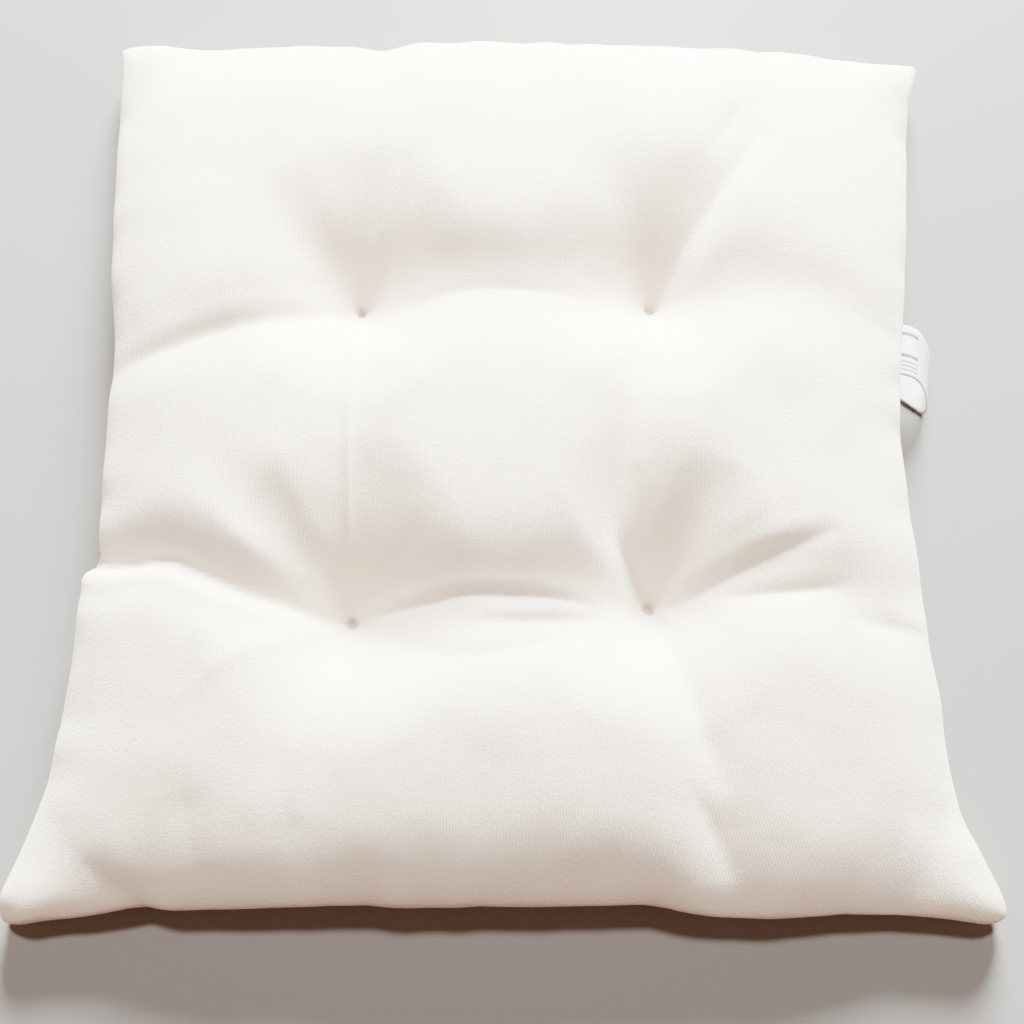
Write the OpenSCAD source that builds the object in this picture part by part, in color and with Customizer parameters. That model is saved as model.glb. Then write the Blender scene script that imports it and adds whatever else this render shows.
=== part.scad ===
// Square tufted seat pad: two sewn covers round a loose fibre fill, held by four
// through-tacks that divide it into three by three soft lobes. The pad lies flat
// on its bottom cover, +Z up, +Y to the back, the origin under its middle.

/* [Outline] */
// Distance from one pointed corner to the next, along a side
side = 400; // [360:2:440]
// How far the left side pulls in between its corners
pull_left = 19; // [8:1:28]
// How far the right side pulls in between its corners
pull_right = 28; // [8:1:32]
// How far the front side pulls in between its corners
pull_front = 7; // [4:1:24]
// How far the back side pulls in between its corners
pull_back = 5; // [4:1:24]

/* [Heights] */
// Height of the crown of the middle lobe above the floor
crown = 57; // [48:1:66]
// Height of the side seam half way along a side
seam_z = 21; // [18:1:24]
// Height of the seam at the two front corners
front_tip_z = 6; // [5:0.5:12]
// Height of the seam at the two back corners
back_tip_z = 11; // [6:0.5:14]

/* [Tacks] */
// Place of the tacks, as a share of the half side
tack_share = 0.37; // [0.33:0.01:0.40]
// Height of the top cover at a tack
tack_z = 25; // [23:0.5:30]
// Height to which a tack lifts the bottom cover
tack_lift = 5.5; // [5:0.25:7]
// Sideways offset of the tack group
tack_dx = -5; // [-8:1:8]
// Front to back offset of the tack group
tack_dy = -9; // [-12:1:8]
// Radius of the waxed tack thread
tack_thread_r = 0.45; // [0.35:0.05:0.5]

/* [Sewing] */
// Thickness of the brushed knit cover
cloth = 1.3; // [1.0:0.1:1.6]
// Width of the seam allowance that is turned inwards
allowance = 9; // [8:0.5:11]
// Radius of the sewing thread
thread_r = 0.22; // [0.18:0.02:0.26]
// Length of the stitched-up stuffing gap in the back seam
closing_len = 120; // [80:5:150]

/* [Label] */
// Width of the folded ribbon label along the side seam
label_w = 24; // [18:1:30]
// Distance that the label hangs out of the seam
label_out = 17; // [12:1:20]
// Place of the label's middle along the right side
label_y = 41; // [20:1:60]

/* [Hidden] */

half = side / 2;
n = 14;                    // steps along one side
K = 4 * n;                 // steps round the outline
gap = 0.25;                // half of the slit between the two seam allowances
flange_top = gap + cloth;  // top of the upper allowance above the seam plane
rise = crown - seam_z;
fall = 42;                 // depth to which the underside would sag if nothing held it
top_rings = [0.13, 0.25, 0.33, tack_share, 0.41, 0.50, 0.60, 0.70, 0.79, 0.87, 0.915, 0.95, 0.975, 0.99];
fill_rings = [0.13, 0.25, 0.33, tack_share, 0.41, 0.50, 0.60, 0.70, 0.79, 0.87, 0.915];

// ---- shape of the stuffed pad, over u and v from -1 to 1 ----

// A step k round the square outline, running front, right, back, left
function per(k) = let (s = floor(k / n), a = 2 * (k % n) / n - 1, t = (a + sin(90 * a)) / 2)
  s == 0 ? [t, -1] : s == 1 ? [1, t] : s == 2 ? [-t, 1] : [-1, -t];
// The same step on an outline with its corners rounded off, more so for a small m
function per_round(k, m) = let (p = per(k))
  p / pow(pow(abs(p.x), m) + pow(abs(p.y), m), 1 / m);

// Plan: the sides pull in between the corners, and the tacks shift the middle
function ease(u, v) = max(0, 1 - u * u) * max(0, 1 - v * v);
function plan_x(u, v) = u * (half - (u < 0 ? pull_left : pull_right) * (1 - pow(abs(v), 2.2))) + tack_dx * ease(u, v);
function plan_y(u, v) = v * (half - (v < 0 ? pull_front : pull_back) * (1 - pow(abs(u), 2.2))) + tack_dy * ease(u, v);
// Height of the seam plane, which droops to the corners
function tip_z(v) = (front_tip_z + back_tip_z) / 2 + (back_tip_z - front_tip_z) / 2 * v;
function seam(u, v) = seam_z - (seam_z - tip_z(v)) * pow(abs(u * v), 2.6);
// Swell of a stuffed square, 1 in the middle and 0 on the seam
function swell(u, v) = pow(max(0, 1 - pow(abs(u), 2.6)) * max(0, 1 - pow(abs(v), 2.6)), 0.62);
// A tack's pinch, 1 at the tack and gone at the distance w
function pinch(u, v, w) = pow(1 - min(1, half * norm([abs(u) - tack_share, abs(v) - tack_share]) / w), 2.5);
function valley(u, v) = let (x = half * (abs(u) - tack_share), y = half * (abs(v) - tack_share))
  5 * (exp(-x * x / 260) + exp(-y * y / 260));
function bulk(u, v) = (rise - gap - valley(u, v)) * swell(u, v);
tack_drop = bulk(tack_share, tack_share) - (tack_z - seam_z - gap);
// Height of the top above the seam plane, and depth of the bottom below it
function up(u, v) = max(0, bulk(u, v) - tack_drop * pinch(u, v, 62));
function down(u, v) = fall * pow(swell(u, v), 0.8);
function mix(a, b, t) = a + (b - a) * t;
function edge_share(u, v) = let (r = max(abs(u), abs(v)), t = min(1, max(0, (r - 0.82) / 0.14))) t * t * (3 - 2 * t);

function top_out(u, v) = seam(u, v) + gap + up(u, v);
function top_in(u, v) = let (h = up(u, v))
  mix(top_out(u, v) - cloth, seam(u, v) + flange_top + h * h / (h + 2 * cloth), edge_share(u, v));
// The underside is drawn a little below the floor and then cut off flat, so that the
// pad has one true plane to rest on, broken only by the four tacks
sag = 1;
function bottom_out(u, v) = max(-sag, seam(u, v) - gap - down(u, v)) + (tack_lift + sag) * pinch(u, v, 30);
function bottom_in(u, v) = let (h = down(u, v), o = max(0, bottom_out(u, v)))
  mix(o + cloth, max(cloth, seam(u, v) - flange_top - h * h / (h + 2 * cloth)), edge_share(u, v));

// A ring of points: the plan shrunk by inset, with a height from z
function inset_by(d) = (half - d) / half;
function spot(u, v, d, z) = [plan_x(u, v) * inset_by(d), plan_y(u, v) * inset_by(d), z];

// ---- solids made of rings that run from one middle point to the other ----
// From ring number turn on, the rings come back inwards, and each quad is split along
// the same line of the plan as on the way out, so that facing surfaces stay parallel
module rings_solid(first, rings, last, turn) {
  R = len(rings);
  pts = [first, for (r = rings) each r, last];
  function at(i, k) = 1 + i * K + (k % K);
  faces = [
    for (k = [0:K - 1]) [0, at(0, k + 1), at(0, k)],
    for (i = [0:R - 2], k = [0:K - 1]) each i < turn ? [
      [at(i, k), at(i, k + 1), at(i + 1, k + 1)],
      [at(i, k), at(i + 1, k + 1), at(i + 1, k)]] : [
      [at(i, k), at(i, k + 1), at(i + 1, k)],
      [at(i, k + 1), at(i + 1, k + 1), at(i + 1, k)]],
    for (k = [0:K - 1]) [1 + R * K, at(R - 1, k), at(R - 1, k + 1)]];
  polyhedron(pts, faces, convexity = 8);
}

// A closed band that follows the seam, with section points [inward, height]
module band(section, round_m) {
  m = len(section);
  pts = [for (k = [0:K - 1]) let (p = per_round(k, round_m)) for (s = section)
    let (r = 1 - s.x / half, u = p.x * r, v = p.y * r) spot(u, v, 0, seam(u, v) + s.y)];
  faces = [for (k = [0:K - 1], j = [0:m - 1]) let (a = k * m + j, b = k * m + (j + 1) % m,
      c = ((k + 1) % K) * m + (j + 1) % m, d = ((k + 1) % K) * m + j) each [[a, b, c], [a, c, d]]];
  polyhedron(pts, faces, convexity = 6);
}
function round_section(x, z, r, m) = [for (j = [0:m - 1]) [x - r * cos(360 * j / m), z + r * sin(360 * j / m)]];

// An open tube along points, with flat ends
function unit(a) = a / norm(a);
module tube(path, r, m) {
  L = len(path);
  dir = [for (i = [0:L - 1]) unit(path[min(i + 1, L - 1)] - path[max(i - 1, 0)])];
  pts = [for (i = [0:L - 1]) let (a = unit(cross(dir[i], [0, 0.2, 1])), b = cross(dir[i], a))
    for (j = [0:m - 1]) path[i] + r * (a * cos(360 * j / m) + b * sin(360 * j / m))];
  faces = [
    [for (j = [0:m - 1]) m - 1 - j],
    [for (j = [0:m - 1]) (L - 1) * m + j],
    for (i = [0:L - 2], j = [0:m - 1]) let (p = i * m + j, q = i * m + (j + 1) % m) each [
      [p, q, q + m], [p, q + m, p + m]]];
  polyhedron(pts, [for (f = faces) [for (i = [len(f) - 1:-1:0]) f[i]]], convexity = 6);
}

// ---- tacks ----
strand = 1.2;              // half the spacing of a tack's two strands
knot_h = 1.5;
function tack_at(sx, sy) = [plan_x(sx * tack_share, sy * tack_share), plan_y(sx * tack_share, sy * tack_share)];
module at_tacks() for (sx = [-1, 1], sy = [-1, 1]) translate(tack_at(sx, sy)) children();
module needle_holes() at_tacks() for (s = [-1, 1])
  translate([s * strand, 0, -1]) cylinder(r = tack_thread_r + 0.3, h = crown + 10, $fn = 24);

// Two strands joined by a small arch over the top cover, knotted under the bottom one
module tuft_thread(sx, sy) {
  top = tack_z + 0.6;
  translate(tack_at(sx, sy)) color("ivory") {
    tube([[-strand, 0, tack_lift - 2.3], [-strand, 0, top - 1],
      for (a = [180:-22.5:0]) [strand * cos(a), 0, top + strand * sin(a)],
      [strand, 0, top - 1], [strand, 0, tack_lift - 2.3]], tack_thread_r, 8);
    translate([0, 0, tack_lift - 2.2 - knot_h]) cylinder(r1 = 1.3, r2 = 1.75, h = knot_h, $fn = 32);
  }
}

// ---- covers ----
// Each cover runs from its middle to the seam, turns in as the seam allowance,
// and comes back as its own inner face.
module top_cover() color("ivory") difference() {
  rings_solid(
    spot(0, 0, 0, top_out(0, 0)),
    [for (r = top_rings) [for (k = [0:K - 1]) let (p = per(k) * r) spot(p.x, p.y, 0, top_out(p.x, p.y))],
      [for (k = [0:K - 1]) let (p = per(k)) spot(p.x, p.y, 0, seam(p.x, p.y) + gap)],
      for (h = [gap, flange_top]) [for (k = [0:K - 1]) let (p = per(k) * (1 - allowance / half))
        spot(p.x, p.y, 0, seam(p.x, p.y) + h)],
      [for (k = [0:K - 1]) let (p = per(k)) spot(p.x, p.y, cloth, seam(p.x, p.y) + flange_top)],
      for (i = [len(top_rings) - 1:-1:0]) [for (k = [0:K - 1]) let (p = per(k) * top_rings[i])
        spot(p.x, p.y, cloth, top_in(p.x, p.y))]],
    spot(0, 0, 0, top_in(0, 0)), len(top_rings) + 1);
  needle_holes();
}

module bottom_cover() color("ivory") difference() {
  rings_solid(
    spot(0, 0, 0, bottom_in(0, 0)),
    [for (r = top_rings) [for (k = [0:K - 1]) let (p = per(k) * r) spot(p.x, p.y, cloth, bottom_in(p.x, p.y))],
      [for (k = [0:K - 1]) let (p = per(k)) spot(p.x, p.y, cloth, seam(p.x, p.y) - flange_top)],
      for (h = [flange_top, gap]) [for (k = [0:K - 1]) let (p = per(k) * (1 - allowance / half))
        spot(p.x, p.y, 0, seam(p.x, p.y) - h)],
      [for (k = [0:K - 1]) let (p = per(k)) spot(p.x, p.y, 0, seam(p.x, p.y) - gap)],
      for (i = [len(top_rings) - 1:-1:0]) [for (k = [0:K - 1]) let (p = per(k) * top_rings[i])
        spot(p.x, p.y, 0, bottom_out(p.x, p.y))]],
    spot(0, 0, 0, -sag), len(top_rings) + 1);
  needle_holes();
  translate([-side, -side, -30]) cube([2 * side, 2 * side, 30]);
}

// ---- fill: one loose batt that takes the covers' inner shape and stops at the seam allowance ----
clear = 0.35;
module fibre_fill() color("whitesmoke") difference() {
  rings_solid(
    spot(0, 0, 0, top_in(0, 0) - clear),
    [for (r = fill_rings) [for (k = [0:K - 1]) let (p = per(k) * r) spot(p.x, p.y, cloth, top_in(p.x, p.y) - clear)],
      for (i = [len(fill_rings) - 1:-1:0]) [for (k = [0:K - 1]) let (p = per(k) * fill_rings[i])
        spot(p.x, p.y, cloth, bottom_in(p.x, p.y) + clear)]],
    spot(0, 0, 0, bottom_in(0, 0) + clear), len(fill_rings) - 1);
  at_tacks() translate([0, 0, -1]) cylinder(r = strand + tack_thread_r + 0.6, h = crown + 10, $fn = 24);
}

// ---- sewing threads ----
module seam_needle_thread() color("white")
  band(round_section(cloth + 3.0, flange_top + thread_r + 0.28, thread_r, 6), 24);
module seam_bobbin_thread() color("white")
  band(round_section(cloth + 3.0, -flange_top - thread_r - 0.4, thread_r, 6), 24);
// The overlock wraps the raw edges of both allowances in a flat C
module overlock_thread() color("white") let (a = allowance, t = flange_top)
  band([[a - 4, t + 0.4], [a + 0.2, t + 0.4], [a + 0.2, -t - 0.4], [a - 4, -t - 0.4],
    [a - 4, -t - 0.8], [a + 0.6, -t - 0.8], [a + 0.6, t + 0.8], [a - 4, t + 0.8]], 24);

// Slanting stitches over the closed stuffing gap, along the back seam
module closing_thread() color("white") let (steps = 2 * round(closing_len / 8))
  tube([for (i = [0:steps]) let (x = closing_len * (i / steps - 0.5), u = x / (half - (x < 0 ? pull_left : pull_right)))
    [x, plan_y(u, 1) + thread_r + 0.12 + (i % 2) * 0.15, seam(u, 1) + (i % 2 == 0 ? -1.1 : 1.1)]], thread_r, 6);

// ---- label: one ribbon folded back on itself, its two tails caught in the seam ----
ribbon = 0.11;
function label_mid(t) = // mid-line of the hanging loop: out of the seam, over and down
  [label_out * (1 - pow(1 - t, 1.35)), 1.2 * sin(180 * min(1, t * 1.3)) - (seam_z - 4.5) * pow(t, 2.1)];
module side_label() color("white") let (x0 = plan_x(1, label_y / half) - 6,
    ts = [for (i = [0:14]) i / 14],
    mid = [for (t = ts) label_mid(t)],
    nrm = [for (i = [0:14]) let (d = unit(mid[min(14, i + 1)] - mid[max(0, i - 1)])) [-d.y, d.x]],
    part = [for (t = ts) 0.015 + 1.5 * sin(180 * pow(t, 1.5)) + (t > 0.9 ? 0.25 : 0)],
    x1 = plan_x(1, label_y / half) + 0.6)
  translate([x1, label_y, seam(1, label_y / half) - 0.02])
    rotate([atan(half * (seam(1, label_y / half + 0.005) - seam(1, label_y / half - 0.005)) / (0.01 * half * half)), 0, 0])
    translate([0, label_w / 2, 0]) rotate([90, 0, 0])
    linear_extrude(label_w) polygon([
      [x0 - x1, 0.02 + ribbon], for (i = [0:14]) mid[i] + nrm[i] * (part[i] / 2 + ribbon),
      mid[14] + [0.35, -0.55],
      for (i = [14:-1:0]) mid[i] - nrm[i] * (part[i] / 2 + ribbon), [x0 - x1, -0.02 - ribbon],
      [x0 - x1, -0.01], for (i = [0:14]) mid[i] - nrm[i] * (part[i] / 2),
      mid[14] + [0.15, -0.2],
      for (i = [14:-1:0]) mid[i] + nrm[i] * (part[i] / 2), [x0 - x1, 0.01]]);

module tuft_thread_back_left() tuft_thread(-1, 1);
module tuft_thread_back_right() tuft_thread(1, 1);
module tuft_thread_front_left() tuft_thread(-1, -1);
module tuft_thread_front_right() tuft_thread(1, -1);

top_cover();
bottom_cover();
fibre_fill();
seam_needle_thread();
seam_bobbin_thread();
overlock_thread();
closing_thread();
tuft_thread_back_left();
tuft_thread_back_right();
tuft_thread_front_left();
tuft_thread_front_right();
side_label();
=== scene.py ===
import math
import bpy
import numpy as np
from mathutils import Matrix, Vector


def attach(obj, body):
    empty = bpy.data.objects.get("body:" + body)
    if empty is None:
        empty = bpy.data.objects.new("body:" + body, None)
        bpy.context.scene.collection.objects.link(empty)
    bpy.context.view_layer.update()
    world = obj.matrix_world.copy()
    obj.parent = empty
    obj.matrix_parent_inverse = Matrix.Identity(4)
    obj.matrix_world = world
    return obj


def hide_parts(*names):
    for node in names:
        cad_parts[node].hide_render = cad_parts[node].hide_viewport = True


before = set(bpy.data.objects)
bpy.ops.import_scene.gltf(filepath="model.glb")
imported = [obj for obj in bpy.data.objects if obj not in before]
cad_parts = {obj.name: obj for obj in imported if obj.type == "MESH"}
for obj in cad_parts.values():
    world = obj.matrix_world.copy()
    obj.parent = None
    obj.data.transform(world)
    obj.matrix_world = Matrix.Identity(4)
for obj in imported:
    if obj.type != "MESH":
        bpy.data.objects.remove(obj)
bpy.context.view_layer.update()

MM = 0.001
RNG = np.random.default_rng(7)
scene = bpy.context.scene


# ---------------------------------------------------------------- camera
def make_camera():
    cam = bpy.data.cameras.new("camera")
    cam.sensor_fit = "HORIZONTAL"
    cam.sensor_width = 36.0
    cam.lens = 36.0
    cam.clip_start = 0.01
    right = Vector((0.99976, 0.00830, 0.02034))
    up = Vector((-0.01293, 0.97083, 0.23942))
    back = right.cross(up).normalized()
    up = back.cross(right).normalized()
    right.normalize()
    m = Matrix((right, up, back)).transposed().to_4x4()
    m.translation = Vector((-0.010107, -0.139223, 0.449633))
    ob = bpy.data.objects.new("camera", cam)
    scene.collection.objects.link(ob)
    ob.matrix_world = m
    scene.camera = ob


make_camera()

# ---------------------------------------------------------------- shape of the stuffed pad
# Everything here is in millimetres, over u, v from -1 to 1 across the two cut panels:
# u to the right, v to the back. The outline is the seam line as the pad lies.
HALF = 200.0
SEAM_Z, TIP_F, TIP_B = 21.0, 6.0, 11.0
TACK, TACK_Z, TACK_LIFT = 0.37, 21.5, 5.5
CROWN = 57.0
# x of the left and right seam against y, and y of the front and back seam against x
LEFT = [(-206.5, -209.5), (-188, -203), (-173, -197), (-150, -189.5), (-123, -185.5), (-99, -183), (-79, -183),
        (-66, -182), (-58, -178), (-50, -177), (-32, -177.5), (13, -179), (34, -178.5), (46, -180), (70, -184),
        (110, -187), (146, -190), (175, -191), (188, -192), (202.0, -199.0)]
RIGHT = [(-202.5, 206), (-190, 199), (-178, 192.5), (-159, 183.5), (-136, 178.5), (-112, 177), (-91, 174), (-66, 172.5),
         (-40, 170.5), (-18, 169), (9, 168.5), (30, 171), (52, 174), (92, 179), (143, 185), (170, 188), (188, 193),
         (202.0, 201.0)]
FRONT = [(-209.5, -206.5), (-189, -201), (-171, -199.5), (-152, -196.5), (-144, -195.5), (-135, -196.5), (-108, -195.5),
         (-73, -194), (-45, -194.5), (-2, -194), (50, -193), (66, -195.5), (79, -197.5), (101, -198), (133, -197),
         (155, -197), (173, -198), (206, -202.5)]
BACK = [(-199.0, 202.0), (-186, 197.5), (-174, 196.5), (-144, 195), (-109, 196.5), (-85, 195.5), (-64, 194.5), (-48, 198),
        (-20, 199), (18, 199), (85, 199), (123, 199.5), (147, 198.5), (171, 195), (185, 194), (201.0, 202.0)]


def smooth_table(table, sigma=4.0):
    x = np.array([a for a, b in table], float)
    y = np.array([b for a, b in table], float)
    xs = np.linspace(x[0], x[-1], 801)
    ys = np.interp(xs, x, y)
    step = (x[-1] - x[0]) / 800
    r = np.arange(-30, 31)
    k = np.exp(-(r * step / sigma) ** 2 / 2)
    k /= k.sum()
    lin = np.linspace(ys[0], ys[-1], 801)      # the ends stay where they are
    d = np.pad(ys - lin, 30, mode="reflect", reflect_type="odd")
    return xs, lin + np.convolve(d, k, "valid")


OUTLINE = {k: smooth_table(t) for k, t in (("l", LEFT), ("r", RIGHT), ("f", FRONT), ("b", BACK))}
TIPS = {(-1, -1): (-209.5, -206.5), (1, -1): (206, -202.5), (-1, 1): (-199.0, 202.0), (1, 1): (201.0, 202.0)}


def side_curve(k, t):
    """A point on one side, for t from -1 to 1 along it."""
    xs, ys = OUTLINE[k]
    s = xs[0] + (xs[-1] - xs[0]) * (t + 1) / 2
    w = np.interp(s, xs, ys)
    return (w, s) if k in "lr" else (s, w)


def coons(u, v):
    lx, ly = side_curve("l", v)
    rx, ry = side_curve("r", v)
    fx, fy = side_curve("f", u)
    bx, by = side_curve("b", u)
    a, b, c, d = (1 - u) / 2, (1 + u) / 2, (1 - v) / 2, (1 + v) / 2
    out = []
    for i, (l, r, f, k) in enumerate(((lx, rx, fx, bx), (ly, ry, fy, by))):
        out.append(a * l + b * r + c * f + d * k
                   - (a * c * TIPS[-1, -1][i] + b * c * TIPS[1, -1][i] + a * d * TIPS[-1, 1][i] + b * d * TIPS[1, 1][i]))
    return out


# Where the four tacks lie, by (side of x, side of y)
TACKS = {(-1, 1): (-70.5, 57.5), (1, 1): (59.2, 61.5), (-1, -1): (-68.5, -82.8), (1, -1): (56.0, -75.2)}


def _tack_shift():
    rows, want = [], []
    for (i, j), (x, y) in TACKS.items():
        u, v = i * TACK, j * TACK
        cx, cy = coons(np.float64(u), np.float64(v))
        e = (1 - u * u) * (1 - v * v)
        rows.append([e, e * u, e * v, e * u * v])
        want.append([x - cx, y - cy])
    return np.linalg.solve(np.array(rows), np.array(want))


SHIFT = _tack_shift()


def plan(u, v):
    x, y = coons(u, v)
    e = np.clip(1 - u * u, 0, None) * np.clip(1 - v * v, 0, None)
    f = [e * (SHIFT[0, i] + SHIFT[1, i] * u + SHIFT[2, i] * v + SHIFT[3, i] * u * v) for i in (0, 1)]
    r = 5.0 * (np.clip(1 - (1 - np.abs(u)) * HALF / 17, 0, 1) * np.clip(1 - (1 - np.abs(v)) * HALF / 17, 0, 1)) ** 1.7
    return x + f[0] - np.sign(u) * r, y + f[1] - np.sign(v) * r


def swell(u, v):
    """How full the pad is, 0 at the seam and 1 in the middle. The turned-out corners are blunt and thick."""
    full = np.clip(1 - np.abs(u) ** 3, 0, None) * np.clip(1 - np.abs(v) ** 3, 0, None)
    tip = np.clip((np.abs(u) + np.abs(v) - 1.72) / 0.2, 0, 1)
    return full ** (0.5 - 0.2 * tip * tip * (3 - 2 * tip))


def seam_height(u, v):
    tip = (TIP_F + TIP_B) / 2 + (TIP_B - TIP_F) / 2 * v
    return SEAM_Z - (SEAM_Z - tip) * np.abs(u * v) ** 3


def line_distance(x, y, line):
    """Distance of each point from a line of points, the side it lies on, and how far along it is, 0 to 1."""
    best = np.full(np.shape(x), 1e9)
    side = np.zeros(np.shape(x))
    along = np.zeros(np.shape(x))
    p = np.array(line, float)
    seg = np.hypot(*np.diff(p, axis=0).T)
    total = seg.sum()
    run = 0.0
    for a, b, ln in zip(p[:-1], p[1:], seg):
        dx, dy = (b - a) / ln
        t = np.clip((x - a[0]) * dx + (y - a[1]) * dy, 0, ln)
        ex, ey = x - a[0] - t * dx, y - a[1] - t * dy
        d = np.hypot(ex, ey)
        m = d < best
        best = np.where(m, d, best)
        side = np.where(m, np.sign(dx * ey - dy * ex), side)
        along = np.where(m, (run + t) / total, along)
        run += ln
    return best, side, along


def curved(line, k=8):
    """A smooth line through given points."""
    p = np.array(line, float)
    if len(p) < 3:
        return [tuple(a) for a in p]
    q = np.concatenate([2 * p[:1] - p[1:2], p, 2 * p[-1:] - p[-2:-1]])
    out = []
    for i in range(1, len(q) - 2):
        for j in range(k):
            t = j / k
            out.append(0.5 * ((2 * q[i]) + (-q[i - 1] + q[i + 1]) * t + (2 * q[i - 1] - 5 * q[i] + 4 * q[i + 1] - q[i + 2]) * t ** 2
                              + (-q[i - 1] + 3 * q[i] - 3 * q[i + 1] + q[i + 2]) * t ** 3))
    out.append(q[-2])
    return [tuple(a) for a in out]


BL, BR, FL, FR = TACKS[-1, 1], TACKS[1, 1], TACKS[-1, -1], TACKS[1, -1]
# Broad valleys between the lobes: points, depth at the start, at the end, and half width
VALLEYS = [
    ([BL, (-28, 60), (20, 60), BR], 11.5, 11.5, 25),
    ([FL, (-19, -77), (17, -76), FR], 11.5, 11.5, 24),
    ([BL, (-69, 10), (-68, -35), FL], 4, 6, 18),
    ([BR, (46, 0), (42, -42), FR], 6, 11, 15),
    ([BL, (-94, 47), (-127, 38), (-172, 26)], 7, 1.5, 15),
    ([FL, (-107, -73), (-143, -59), (-175, -58)], 10, 6, 15),
    ([BR, (110, 60), (165, 48)], 7, 3, 20),
    ([FR, (98, -66), (165, -80)], 8, 4, 18),
    ([BL, (-62, 108), (-66, 185)], 4, 1, 20),
    ([BR, (80, 105), (104, 150)], 9, 2, 17),
    ([BR, (46, 96), (34, 136)], 5, 1, 16),
    ([BL, (-98, 88), (-112, 112)], 8, 1, 14),
    ([FL, (-98, -46), (-122, -20)], 8, 1, 15),
    ([FR, (68, -48), (84, -18)], 9, 1, 15),
    ([FL, (-80, -125), (-84, -188)], 5, 3, 20),
    ([FR, (71, -122), (80, -188)], 8, 4, 16),
]


def valleys(x, y):
    d = np.zeros(np.shape(x))
    for pts, a, b, w in VALLEYS:
        dist, side, t = line_distance(x, y, curved(pts))
        d = d + ((a + (b - a) * t) * np.exp(-(dist / w) ** 2)) ** 4
    return d ** 0.25                                  # the deeper one counts, with a soft join where two meet


def tack_distance(x, y):
    return np.min([np.hypot(x - a, y - b) for a, b in TACKS.values()], axis=0)


def start_top(u, v):
    x, y = plan(u, v)
    f = swell(u, v)
    h = (CROWN + 1.0 - SEAM_Z) * f - valleys(x, y) * np.clip(f * 1.6, 0, 1)
    dent = np.zeros(np.shape(x))
    for a, b in TACKS.values():
        d = np.hypot(x - a, y - b)
        up = np.clip((y - b) / np.maximum(d, 1e-6), 0, 1) ** 3     # the lobe behind a tack slopes down to it for longer
        near = np.clip(1 - d / (54 + 22 * up), 0, 1)
        p = 0.58 * near ** 2 + 0.34 * near ** 1.3 + 0.08 * np.clip(1 - d / 13, 0, 1) ** 2
        dent = np.maximum(dent, p)
    h0 = h
    low = TACK_Z - SEAM_Z
    h = h - dent * (np.maximum(h0, low) - low)
    return seam_height(u, v) + np.maximum(0, h)


def start_bottom(u, v):
    x, y = plan(u, v)
    d = tack_distance(x, y)
    return np.maximum(0.0, seam_height(u, v) - 40 * swell(u, v)) + TACK_LIFT * np.clip(1 - d / 30, 0, 1) ** 2.5


N = 81                      # simulated grid lines each way
CUT = 0.406                 # side of the flat cut panels, metres


def grid_lines(n):
    t = np.linspace(-1, 1, n)
    g = 0.5 * t + 0.5 * np.sin(t * math.pi / 2)
    k = int(np.argmin(np.abs(g - TACK)))
    return np.sign(g) * np.interp(np.abs(g), [0, g[k], 1], [0, TACK, 1])


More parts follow.
